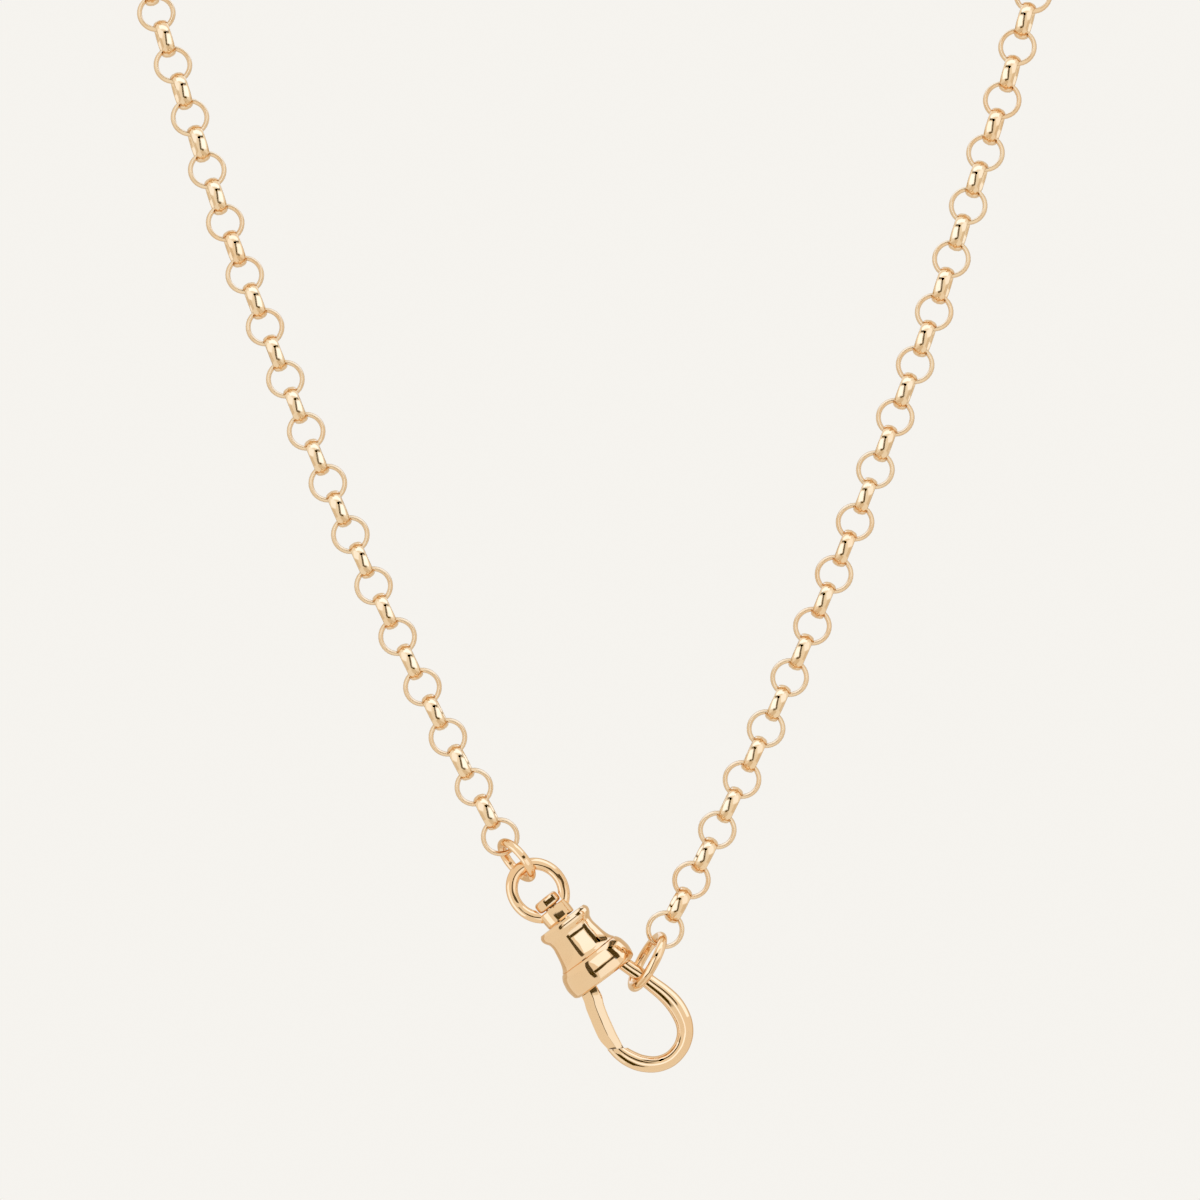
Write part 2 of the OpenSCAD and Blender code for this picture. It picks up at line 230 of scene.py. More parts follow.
def angle(name, description, degrees):
    """An angle that is typed in degrees and kept in radians."""
    return bpy.props.FloatProperty(
        name=name, description=description, default=math.radians(degrees), subtype="ANGLE", unit="ROTATION"
    )


def colour(name, description, rgb):
    return bpy.props.FloatVectorProperty(
        name=name, description=description, default=rgb, size=3, min=0, soft_max=1, subtype="COLOR"
    )


def share(name, description, value):
    return bpy.props.FloatProperty(
        name=name, description=description, default=value, min=0, subtype="FACTOR"
    )


class ChainSizes(bpy.types.PropertyGroup):
    link_od: length("Link diameter", "Outside diameter of a round link", 3.19)
    band: length("Band thickness", "Thickness of a link's band at its middle", 0.41)
    band_width: length("Band width", "Width of a link's band", 1.08)
    dome: length("Dome", "Rise of the domed outside of the band", 0.15)
    belly: length("Belly", "Rise of the rounded inside of the band", 0.13)
    links: bpy.props.IntProperty(
        name="Links", description="Number of links in the whole chain", default=191, min=3
    )
    wobble: angle("Wobble", "Most that a link is turned out of true round the chain", 0.8)
    edge_softness: share("Edge softness", "Roundness of the band's edges, from square to oval", 0.72)


class RingSizes(bpy.types.PropertyGroup):
    small_od: length("Small ring", "Outside diameter of the ring at the swivel", 4.3)
    small_wire: length("Small ring wire", "Wire of the small ring", 0.74)
    small_lean: angle("Small ring lean", "Lean from upright of the line through the small ring", 35)
    small_skew: angle("Small ring skew", "Skew of the small ring from that line", 4)
    small_turn: angle("Small ring turn", "Turn of the small ring out of the edge-on view", 20)
    small_slack: length("Small ring slack", "Slack of the end link in the small ring", 0.13)
    large_od: length("Large ring", "Outside diameter of the ring on the hook", 5.5)
    large_wire: length("Large ring wire", "Wire of the large ring", 0.8)
    large_lean: angle("Large ring lean", "Lean from upright of the line through the large ring", 29)
    large_turn: angle("Large ring turn", "Turn of the large ring out of the edge-on view", 12)
    large_drop: length("Large ring drop", "Place of the large ring, down along the clasp", 1.5)
    play: length("Play", "Free play between rings that hang in each other", 0.13)


class ClaspSizes(bpy.types.PropertyGroup):
    lean: angle("Lean", "Lean of the clasp's axis from upright", 37)
    barrel_h: length("Barrel height", "Height of the barrel", 5.9)
    barrel_d: length("Barrel diameter", "Diameter of the barrel at its bulge", 6.26)
    crease: length("Crease", "Depth of the fine crease above the bulge", 0.09)
    crease_up: length("Crease height", "Height of the crease on the barrel", 2.32)
    bow_drop: length("Hook depth", "Depth of the hook below the barrel", 8.5)
    bow_reach: length("Hook reach", "Reach of the hook to the side", 3.22)
    hook_wire: length("Hook wire", "Wire of the hook at its thickest", 1.46)
    nose_slant: angle("Nose slant", "Slant of the cut where the gate meets the hook", 32)
    gate_width: length("Gate width", "Width of the gate across the front", 1.5)
    gate_depth: length("Gate depth", "Thickness of the gate from front to back", 1.2)
    hinge_side: length("Hinge side", "Distance of the hinge from the barrel's axis", 1.6)
    hinge_up: length("Hinge height", "Height of the hinge above the barrel's lower face", 0.76)
    pin_d: length("Pin", "Diameter of the hinge pin", 0.5)
    gate_swing: angle("Gate swing", "Swing of the open gate", 25)
    gap: length("Gap", "Gap between the clasp's pieces", 0.1)
    tip_gap: length("Tip gap", "Gap between the closed gate and the hook's nose", 0.03)


class SwivelSizes(bpy.types.PropertyGroup):
    ring_od: length("Swivel ring", "Outside diameter of the swivel ring", 5.0)
    ring_wire: length("Swivel wire", "Wire of the swivel ring at its sides", 0.94)
    oval: share("Oval", "Height of the oval swivel ring as a share of its width", 1.13)
    tilt: angle("Tilt", "Tilt of the swivel ring and its rivet on the barrel", 2)
    boss_d: length("Boss", "Diameter of the boss under the swivel ring", 2.65)
    boss_h: length("Boss height", "Height of the boss", 1.22)
    boss_bulge: length("Boss bulge", "Bulge of the boss's wall", 0.085)
    seat_sink: length("Seat sink", "Depth that the rivet's seat is sunk in the ring", 0.04)
    head_d: length("Rivet head", "Diameter of the rivet's head", 2.14)
    head_h: length("Rivet head height", "Height of the rivet's head", 0.92)
    shank_d: length("Rivet shank", "Diameter of the rivet's shank", 1.1)
    shank_depth: length("Shank depth", "Depth of the rivet's shank in the barrel", 1.2)


class GoldFinish(bpy.types.PropertyGroup):
    gold: colour("Gold", "Colour of the clasp's polished gold", (0.90, 0.64, 0.38))
    chain_gold: colour("Chain gold", "Colour of the chain's paler gold", (0.93, 0.71, 0.46))
    patchiness: share("Patchiness", "How much redder the alloy's warmer patches are", 0.06)
    chain_roughness: share("Chain roughness", "Roughness of the tumbled chain", 0.14)
    clasp_roughness: share("Clasp roughness", "Roughness of the hand-polished clasp", 0.06)
    ripple: length("Ripple", "Spacing of the soft waves that polishing leaves", 3.0)
    chain_waves: length("Chain waves", "Depth of the soft waves on the chain", 0.06)
    clasp_waves: length("Clasp waves", "Depth of the soft waves on the clasp", 0.1)
    scratches: length("Scratches", "Spacing of the finest scratches", 0.12)
    scratch_depth: length("Scratch depth", "Depth of the finest scratches", 0.0006)


class StudioStage(bpy.types.PropertyGroup):
    camera_distance: length("Camera distance", "Distance of the camera from the front of the chain", 1200)
    view_width: length("View width", "Width of the view at the front of the chain", 98.4)
    floor_drop: length("Floor drop", "Depth of the floor below the nape", 1000)
    floor_size: length("Floor size", "Width of the floor", 20000)
    tent: colour("Tent", "Colour of the cloth tent round the chain", (0.92, 0.90, 0.86))
    softbox: colour("Softbox", "Colour of the soft lights", (0.40, 0.69, 1.20))
    shade: colour("Shade", "Colour of the light that the dim shades take away", (0.55, 0.78, 1.05))
    light_distance: length("Light distance", "Distance of the lights from the part that they are for", 900)
    floor: colour("Floor", "Colour of the floor", (0.97, 0.97, 0.965))


# Shapes


def curve_point(rows, t):
    """The point at step t of a smooth curve through a list of rows."""
    last = len(rows) - 1
    i = min(int(t), last - 1)
    u = t - i
    a, b, c, d = (np.array(rows[k], float) for k in (max(i - 1, 0), i, i + 1, min(i + 2, last)))
    return (2 * b + (c - a) * u + (2 * a - 5 * b + 4 * c - d) * u**2 + (3 * b - a - 3 * c + d) * u**3) / 2


def smooth_rows(rows, steps):
    return [curve_point(rows, k / steps) for k in range((len(rows) - 1) * steps + 1)]


def clasp_matrix():
    """Places what is drawn upright round the barrel's axis."""
    lean = bpy.context.scene.clasp_sizes.lean
    return Matrix.Translation(Vector(CLASP_AT) * MM) @ Matrix.Rotation(-lean, 4, "Y")


def askew_matrix():
    """The clasp's place with the small tilt of the ring and rivet on the barrel."""
    up = Vector((0, 0, bpy.context.scene.clasp_sizes.barrel_h))
    tilt = Matrix.Rotation(-bpy.context.scene.swivel_sizes.tilt, 4, "Y")
    return clasp_matrix() @ Matrix.Translation(up) @ tilt @ Matrix.Translation(-up)


def aim(at, along, up):
    """The matrix that puts X along one direction and Z along another."""
    side = up.cross(along)
    return Matrix((
        (along.x, side.x, up.x, at.x),
        (along.y, side.y, up.y, at.y),
        (along.z, side.z, up.z, at.z),
        (0, 0, 0, 1),
    ))


def lookup(value, pairs):
    xs, ys = zip(*pairs)
    return float(np.interp(value, xs, ys))


def bow_path(steps):
    """Points of the hook in the clasp's plane, each with its wire."""
    sizes = bpy.context.scene.clasp_sizes
    return [
        (side * sizes.bow_reach, -drop * sizes.bow_drop, wire * sizes.hook_wire)
        for side, drop, wire in smooth_rows(BOW_ROWS, steps)
    ]


def joints_of_the_clasp():
    """Heights of the boss, its seat and the swivel ring, and where the rings and the chain's ends hang."""
    chain, rings = bpy.context.scene.chain_sizes, bpy.context.scene.ring_sizes
    clasp, swivel = bpy.context.scene.clasp_sizes, bpy.context.scene.swivel_sizes
    link_in = chain.link_od / 2 - chain.band
    boss_z = clasp.barrel_h + clasp.gap + swivel.boss_d / 2 * math.sin(swivel.tilt)
    seat_z = boss_z + swivel.boss_h
    hole = swivel.ring_od / 2 - swivel.ring_wire
    ring_z = seat_z + swivel.seat_sink + hole * swivel.oval

    small_way = Vector((-math.sin(rings.small_lean), 0, math.cos(rings.small_lean)))
    small_in = rings.small_od / 2 - rings.small_wire
    swivel_at = askew_matrix() @ Vector((0, 0, ring_z))
    small_at = swivel_at + small_way * (hole * swivel.oval + small_in - rings.play)
    left_end = small_at + small_way * (small_in + link_in - rings.play - rings.small_slack)

    large_way = Vector((math.sin(rings.large_lean), 0, math.cos(rings.large_lean)))
    large_in = rings.large_od / 2 - rings.large_wire
    shank = [p for p in bow_path(steps=4) if p[0] > 0 and p[1] > -clasp.bow_drop / 2]
    side = lookup(rings.large_drop, [(-p[1], p[0]) for p in shank])
    wire = lookup(rings.large_drop, [(-p[1], p[2]) for p in shank])
    hang_at = clasp_matrix() @ Vector((side, 0, -rings.large_drop))
    large_at = hang_at + large_way * (large_in - wire / 2 - rings.play)
    right_end = large_at + large_way * (large_in + link_in - rings.play)
    return {
        "boss_z": boss_z, "seat_z": seat_z, "ring_z": ring_z,
        "small_at": small_at, "large_at": large_at, "left_end": left_end, "right_end": right_end,
    }


def make_object(name, mesh):
    obj = bpy.data.objects.new(name, mesh)
    bpy.context.scene.collection.objects.link(obj)
    return obj


def grid_mesh(name, rows, closed_rows, matrix):
    """A skin over rows of points, each row a closed loop, or one point at a pole."""
    bm = bmesh.new()
    loops = [[bm.verts.new(matrix @ Vector(p)) for p in row] for row in rows]
    pairs = list(zip(loops, loops[1:])) + ([(loops[-1], loops[0])] if closed_rows else [])
    for low, high in pairs:
        count = max(len(low), len(high))
        for k in range(count):
            nxt = (k + 1) % count
            corners = [low[k % len(low)], low[nxt % len(low)], high[nxt % len(high)], high[k % len(high)]]
            corners = list(dict.fromkeys(corners))
            if len(corners) > 2:
                bm.faces.new(corners)
    if not closed_rows:
        for loop in (loops[0], loops[-1]):
            if len(loop) > 2:
                bm.faces.new(loop)
    bmesh.ops.recalc_face_normals(bm, faces=bm.faces)
    mesh = bpy.data.meshes.new(name)
    bm.to_mesh(mesh)
    bm.free()
    return mesh


def spun(name, profile, matrix, sides=96):
    """A shape turned round Z from (radius, height) points; a radius of zero closes it in a pole."""
    rows = []
    for r, z in profile:
        if r < POLE_RADIUS:
            rows.append([(0, 0, z)])
        else:
            rows.append([
                (r * math.cos(2 * math.pi * k / sides), r * math.sin(2 * math.pi * k / sides), z)
                for k in range(sides)
            ])
    return grid_mesh(name, rows, False, matrix)


def swept(name, path, section, matrix):
    """A closed bar along points in the XZ plane. Its section is in shares of the width at each point."""
    rows = []
    last = len(path) - 1
    for i, (x, z, width) in enumerate(path):
        before, after = path[max(i - 1, 0)], path[min(i + 1, last)]
        way = Vector((after[0] - before[0], after[1] - before[1])).normalized()
        rows.append([(x - way.y * u * width, v * width, z + way.x * u * width) for u, v in section])
    return grid_mesh(name, rows, False, matrix)


def softened(corners, soft, steps=6):
    """A closed outline with its corners rounded off, and flat between them."""
    points = []
    for i, corner in enumerate(corners):
        middle = Vector(corner)
        ways = [(Vector(corners[k % len(corners)]) - middle).normalized() * soft for k in (i - 1, i + 1)]
        start, end = middle + ways[0], middle + ways[1]
        points.append(start + ways[0] * FLAT_START)
        for k in range(steps + 1):
            t = k / steps
            points.append(start * (1 - t) ** 2 + middle * 2 * t * (1 - t) + end * t**2)
        points.append(end + ways[1] * FLAT_START)
    return [tuple(p) for p in points]


def wire_ring(name, od, wire, matrix, oval=1.0, around=96, sides=32):
    """A closed ring of round wire with its hole along Z."""
    rows = []
    for i in range(around):
        a = 2 * math.pi * i / around
        row = []
        for k in range(sides):
            b = 2 * math.pi * k / sides
            r = (od - wire) / 2 + wire / 2 * math.cos(b)
            row.append((r * math.cos(a), oval * r * math.sin(a), wire / 2 * math.sin(b)))
        rows.append(row)
    return grid_mesh(name, rows, True, matrix)


def rod(name, d, low, high, matrix, sides=48):
    return spun(name, [(0, low), (d / 2, low), (d / 2, high), (0, high)], matrix, sides)


def block(name, low, high, matrix):
    rows = [
        [(low[0], low[1], z), (high[0], low[1], z), (high[0], high[1], z), (low[0], high[1], z)]
        for z in (low[2], high[2])
    ]
    return grid_mesh(name, rows, False, matrix)


def carve(obj, operation, mesh):
    """Joins a mesh to a piece, or cuts it out, and leaves a plain mesh."""
    tool = make_object(obj.name + "_tool", mesh)
    cut = obj.modifiers.new("carve", "BOOLEAN")
    cut.operation = operation
    cut.solver = "EXACT"
    cut.object = tool
    depsgraph = bpy.context.evaluated_depsgraph_get()
    done = bpy.data.meshes.new_from_object(obj.evaluated_get(depsgraph))
    obj.modifiers.remove(cut)
    bm = bmesh.new()
    bm.from_mesh(done)
    bmesh.ops.dissolve_degenerate(bm, dist=SHORTEST_EDGE, edges=bm.edges)
    bm.to_mesh(done)
    volume = bm.calc_volume(signed=True)
    bm.free()
    old = obj.data
    obj.data = done
    done.name = old.name
    bpy.data.meshes.remove(old)
    bpy.data.objects.remove(tool)
    bpy.data.meshes.remove(mesh)
    if volume <= 0:
        raise RuntimeError(f"{obj.name} came out empty or inside out")


def polish(obj, material, sharp=32):
    """Smooth shading that keeps the crisp edges, and one material."""
    obj.data.materials.clear()
    obj.data.materials.append(material)
    obj.data.polygons.foreach_set("use_smooth", [True] * len(obj.data.polygons))
    obj.data.set_sharp_from_angle(angle=math.radians(sharp))


def stand_for(obj, node, body):
    """The piece rides on its body and is shown in place of the plain solid."""
    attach(obj, body)
    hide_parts(node)


# Gold


def gold_material(name, gold, roughness, wear, wave_depth):
    """Polished gold: faint alloy patches, soft waves from the polishing mop, and fine scratches."""
    known = bpy.data.materials.get(name)
    if known:
        return known
    finish = bpy.context.scene.gold_finish
    material = bpy.data.materials.new(name)
    material.use_nodes = True
    nodes, links = material.node_tree.nodes, material.node_tree.links
    nodes.clear()
    output = nodes.new("ShaderNodeOutputMaterial")
    shader = nodes.new("ShaderNodeBsdfPrincipled")
    shader.inputs["Metallic"].default_value = 1.0
    place = nodes.new("ShaderNodeTexCoord")

    def noise(spacing, detail, shift):
        turned = nodes.new("ShaderNodeMapping")
        turned.inputs["Location"].default_value = (shift, shift / 2, 0)
        texture = nodes.new("ShaderNodeTexNoise")
        texture.inputs["Scale"].default_value = 1 / spacing
        texture.inputs["Detail"].default_value = detail
        links.new(place.outputs["Object"], turned.inputs["Vector"])
        links.new(turned.outputs["Vector"], texture.inputs["Vector"])
        return texture.outputs["Fac"]

    def spread(value, low, high, to_low=0.0, to_high=1.0):
        ends = {"From Min": low, "From Max": high, "To Min": to_low, "To Max": to_high}
        spreader = nodes.new("ShaderNodeMapRange")
        for name, number in ends.items():
            spreader.inputs[name].default_value = number
        links.new(value, spreader.inputs["Value"])
        return spreader.outputs["Result"]

    def bump(height, depth, strength):
        bumped = nodes.new("ShaderNodeBump")
        bumped.inputs["Strength"].default_value = strength
        bumped.inputs["Distance"].default_value = depth
        links.new(height, bumped.inputs["Height"])
        return bumped

    patches = noise(finish.ripple * PATCH_WIDTH, detail=3, shift=0.3)
    tint = nodes.new("ShaderNodeMix")
    tint.data_type = "RGBA"
    red, green, blue = gold
    warm = finish.patchiness
    tint.inputs["A"].default_value = (red, green * (1 - warm), blue * (1 - 2 * warm), 1)
    tint.inputs["B"].default_value = (red, green, blue, 1)
    links.new(spread(patches, low=0.3, high=0.55), tint.inputs["Factor"])
    links.new(tint.outputs["Result"], shader.inputs["Base Color"])

    rubbed = noise(finish.scratches * RUB_WIDTH, detail=4, shift=0.7)
    sheen = spread(rubbed, 0.3, 0.7, roughness * (1 - wear), roughness * (1 + wear))
    links.new(sheen, shader.inputs["Roughness"])

    waves = bump(noise(finish.ripple, detail=2, shift=1.1), wave_depth, strength=1.0)
    fine = bump(noise(finish.scratches, detail=3, shift=1.9), finish.scratch_depth, strength=0.5)
    links.new(waves.outputs["Normal"], fine.inputs["Normal"])
    links.new(fine.outputs["Normal"], shader.inputs["Normal"])
    links.new(shader.outputs["BSDF"], output.inputs["Surface"])
    return material


def chain_gold():
    finish = bpy.context.scene.gold_finish
    return gold_material(
        "tumbled_gold", finish.chain_gold, finish.chain_roughness, wear=0.35, wave_depth=finish.chain_waves
    )


def clasp_gold():
    finish = bpy.context.scene.gold_finish
    return gold_material(
        "polished_gold", finish.gold, finish.clasp_roughness, wear=0.4, wave_depth=finish.clasp_waves
    )


# Links by Geometry Nodes


class NodeSketch:
    """Short calls for building a tree of geometry nodes."""

    def __init__(self, tree):
        self.tree = tree

    def add(self, kind, settings=None, **inputs):
        node = self.tree.nodes.new(kind)
        for key, value in (settings or {}).items():
            setattr(node, key, value)
        for key, value in inputs.items():
            self.feed(node.inputs[key.replace("_", " ")], value)
        return node

    def feed(self, socket, value):
        if isinstance(value, bpy.types.NodeSocket):
            self.tree.links.new(value, socket)
        else:
            socket.default_value = value

    def math(self, operation, a, b=0.0):
        node = self.tree.nodes.new("ShaderNodeMath")
        node.operation = operation
        self.feed(node.inputs[0], a)
        self.feed(node.inputs[1], b)
        return node.outputs[0]

    def vector(self, operation, a, b=None, scale=None):
        node = self.tree.nodes.new("ShaderNodeVectorMath")
        node.operation = operation
        self.feed(node.inputs[0], a)
        if b is not None:
            self.feed(node.inputs[1], b)
        if scale is not None:
            self.feed(node.inputs["Scale"], scale)
        return node.outputs["Value" if operation in ("DOT_PRODUCT", "LENGTH") else "Vector"]


TREE_INPUTS = {
    "Route": "Geometry", "Link diameter": "Float", "Band thickness": "Float", "Band width": "Float",
    "Dome": "Float", "Belly": "Float", "Edge softness": "Float", "Wobble": "Float",
    "Links": "Int", "First link": "Int", "Last link": "Int", "Seed": "Int", "Gold": "Material",
}


def link_shape(sketch, given):
    """A round link with its hole along Z: a torus whose section is pressed into a domed band."""
    circle = "GeometryNodeCurvePrimitiveCircle"
    torus = sketch.add(
        "GeometryNodeCurveToMesh",
        Curve=sketch.add(circle, Resolution=LINK_SIDES, Radius=TORUS_RADIUS).outputs["Curve"],
        Profile_Curve=sketch.add(circle, Resolution=BAND_SIDES, Radius=1.0).outputs["Curve"],
    )
    position = sketch.add("GeometryNodeInputPosition").outputs[0]
    split = sketch.add("ShaderNodeSeparateXYZ", Vector=position)
    flat = sketch.add("ShaderNodeCombineXYZ", X=split.outputs["X"], Y=split.outputs["Y"]).outputs[0]
    round_way = sketch.vector("NORMALIZE", flat)
    across = sketch.math("SUBTRACT", sketch.vector("LENGTH", flat), TORUS_RADIUS)

    def squared(value):
        size = sketch.math("POWER", sketch.math("ABSOLUTE", value), given["Edge softness"])
        return sketch.math("MULTIPLY", size, sketch.math("SIGN", value))

    side = squared(split.outputs["Z"])
    # Zero on the inside of the band and one on its outside
    outward = sketch.math("MULTIPLY_ADD", squared(across), 0.5)
    outward.node.inputs[2].default_value = 0.5
    bend = sketch.math("POWER", sketch.math("ABSOLUTE", side), DOME_POWER)
    rim = sketch.math("DIVIDE", given["Link diameter"], 2.0)
    outer = sketch.math("SUBTRACT", rim, sketch.math("MULTIPLY", bend, given["Dome"]))
    hollow = sketch.math("SUBTRACT", rim, given["Band thickness"])
    inner = sketch.math("ADD", hollow, sketch.math("MULTIPLY", bend, given["Belly"]))
    depth = sketch.math("MULTIPLY", outward, sketch.math("SUBTRACT", outer, inner))
    radius = sketch.math("ADD", inner, depth)
    height = sketch.math("MULTIPLY", side, sketch.math("DIVIDE", given["Band width"], 2.0))
    lifted = sketch.add("ShaderNodeCombineXYZ", Z=height).outputs[0]
    place = sketch.vector("ADD", sketch.vector("SCALE", round_way, scale=radius), lifted)
    pressed = sketch.add("GeometryNodeSetPosition", Geometry=torus.outputs["Mesh"], Position=place)
    return pressed.outputs["Geometry"]


def link_tree():
    """Links along a route, each turned a quarter from the next and facing as the route says."""
    tree = bpy.data.node_groups.new("links_along_route", "GeometryNodeTree")
    for name, kind in TREE_INPUTS.items():
        tree.interface.new_socket(name, in_out="INPUT", socket_type=f"NodeSocket{kind}")
    tree.interface.new_socket("Chain", in_out="OUTPUT", socket_type="NodeSocketGeometry")
    sketch = NodeSketch(tree)
    entry = tree.nodes.new("NodeGroupInput")
    given = {name: entry.outputs[name] for name in TREE_INPUTS}

    wire = sketch.add("GeometryNodeMeshToCurve", Mesh=given["Route"]).outputs["Curve"]
    spots = sketch.add("GeometryNodeResampleCurve", Curve=wire, Count=given["Links"])
    along = sketch.add("GeometryNodeInputTangent").outputs["Tangent"]
    named = sketch.add("GeometryNodeInputNamedAttribute", {"data_type": "FLOAT"}, Name="facing")
    facing = named.outputs["Attribute"]
    forward = sketch.math("MULTIPLY", sketch.math("COSINE", facing), -1.0)
    front = sketch.add("ShaderNodeCombineXYZ", X=sketch.math("SINE", facing), Y=forward).outputs[0]
    lengthwise = sketch.vector("SCALE", along, scale=sketch.vector("DOT_PRODUCT", front, along))
    face = sketch.vector("NORMALIZE", sketch.vector("SUBTRACT", front, lengthwise))
    quarter = sketch.vector("CROSS_PRODUCT", along, face)
    index = sketch.add("GeometryNodeInputIndex").outputs["Index"]
    odd = sketch.math("MODULO", index, 2.0)
    hole = sketch.add("GeometryNodeSwitch", {"input_type": "VECTOR"}, Switch=odd)
    sketch.feed(hole.inputs["False"], face)
    sketch.feed(hole.inputs["True"], quarter)
    turn = sketch.add(
        "FunctionNodeAxesToRotation", {"primary_axis": "Z", "secondary_axis": "X"},
        Primary_Axis=hole.outputs["Output"], Secondary_Axis=along,
    ).outputs["Rotation"]
    chance = sketch.add("FunctionNodeRandomValue", {"data_type": "FLOAT"}, Seed=given["Seed"])
    chance.inputs[2].default_value = -1.0
    chance.inputs[3].default_value = 1.0
    lurch = sketch.math("MULTIPLY", chance.outputs[1], given["Wobble"])
    askew = sketch.add("FunctionNodeAxisAngleToRotation", Axis=(1.0, 0.0, 0.0), Angle=lurch)
    turned = sketch.add(
        "FunctionNodeRotateRotation", {"rotation_space": "LOCAL"},
        Rotation=turn, Rotate_By=askew.outputs["Rotation"],
    )
    both = sketch.add("FunctionNodeBooleanMath", {"operation": "AND"})
    for k, (operation, limit) in enumerate((("GREATER_EQUAL", "First link"), ("LESS_EQUAL", "Last link"))):
        compare = sketch.add("FunctionNodeCompare", {"data_type": "INT", "operation": operation})
        sketch.feed(compare.inputs[2], index)
        sketch.feed(compare.inputs[3], given[limit])
        sketch.feed(both.inputs[k], compare.outputs[0])
    linked = sketch.add(
        "GeometryNodeInstanceOnPoints", Points=spots.outputs["Curve"], Selection=both.outputs[0],
        Instance=link_shape(sketch, given), Rotation=turned.outputs["Rotation"],
    )
    smooth = sketch.add("GeometryNodeSetShadeSmooth", Geometry=linked.outputs["Instances"])
    real = sketch.add("GeometryNodeRealizeInstances", Geometry=smooth.outputs["Geometry"])
    dressed = sketch.add(
        "GeometryNodeSetMaterial", Geometry=real.outputs["Geometry"], Material=given["Gold"]
    )
    sketch.feed(tree.nodes.new("NodeGroupOutput").inputs["Chain"], dressed.outputs["Geometry"])
    return tree


def route_mesh():
    """The chain's route as a line of points with the way that it faces."""
    ends = joints_of_the_clasp()
    left, right = ends["left_end"] / MM, ends["right_end"] / MM
    rows = [(*left, LEFT_END_FACING), *CHAIN_ROUTE, (*right, RIGHT_END_FACING)]
    points = smooth_rows(rows, ROUTE_STEPS)
    steps = [(i, i + 1) for i in range(len(points) - 1)]
    mesh = bpy.data.meshes.new("chain_route")
    mesh.from_pydata([tuple(p[:3] * MM) for p in points], steps, [])
    facing = mesh.attributes.new("facing", "FLOAT", "POINT")
    facing.data.foreach_set("value", [math.radians(p[3]) for p in points])
    return mesh


class ROLO_OT_chain(bpy.types.Operator):
    """Makes the two halves of the chain from round domed links"""

    bl_idname = "rolo.chain"
    bl_label = "Chain"

    def execute(self, context):
        sizes = context.scene.chain_sizes
        tree = link_tree()
        middle = (sizes.links - 1) // 2
        for name, node, first, last in (
            ("left_links", "chain_left", 0, middle),
            ("right_links", "chain_right", middle + 1, sizes.links - 1),
        ):
            obj = make_object(name, route_mesh())
            maker = obj.modifiers.new("links", "NODES")
            maker.node_group = tree
            values = {
                "Link diameter": sizes.link_od, "Band thickness": sizes.band,
                "Band width": sizes.band_width, "Dome": sizes.dome, "Belly": sizes.belly,
                "Edge softness": sizes.edge_softness, "Wobble": sizes.wobble, "Links": sizes.links,
                "First link": first, "Last link": last, "Seed": WOBBLE_SEED, "Gold": chain_gold(),
            }
            for item in tree.interface.items_tree:
                if item.in_out == "INPUT" and item.name in values:
                    maker[item.identifier] = values[item.name]
            depsgraph = context.evaluated_depsgraph_get()
            mesh = bpy.data.meshes.new_from_object(obj.evaluated_get(depsgraph))
            obj.modifiers.remove(maker)
            obj.data = mesh
            if len(mesh.polygons) < last - first:
                raise RuntimeError(f"{name} has no links")
            stand_for(obj, node, "necklace")
        return {"FINISHED"}


def edge_on_matrix(at, lean, turn):
    """The place of a ring seen nearly edge-on, leaning to one side in the front view."""
    way = Vector((math.sin(lean), 0, math.cos(lean)))
    right = Vector((math.cos(lean), 0, -math.sin(lean)))
    return aim(at, way, right * math.cos(turn) + Vector((0, 1, 0)) * math.sin(turn))


class ROLO_OT_jump_rings(bpy.types.Operator):
    """Makes the small ring at the swivel and the large ring on the hook"""

    bl_idname = "rolo.jump_rings"
    bl_label = "Jump rings"

    def execute(self, context):
        sizes, ends = context.scene.ring_sizes, joints_of_the_clasp()
        small = edge_on_matrix(ends["small_at"], -sizes.small_lean - sizes.small_skew, sizes.small_turn)
        large = edge_on_matrix(ends["large_at"], sizes.large_lean, sizes.large_turn)
        for name, node, od, wire, place in (
            ("small_ring", "jump_ring_left", sizes.small_od, sizes.small_wire, small),
            ("large_ring", "jump_ring_right", sizes.large_od, sizes.large_wire, large),
        ):
            obj = make_object(name, wire_ring(name, od, wire, place))
            polish(obj, clasp_gold(), sharp=60)
            stand_for(obj, node, "necklace")
        return {"FINISHED"}


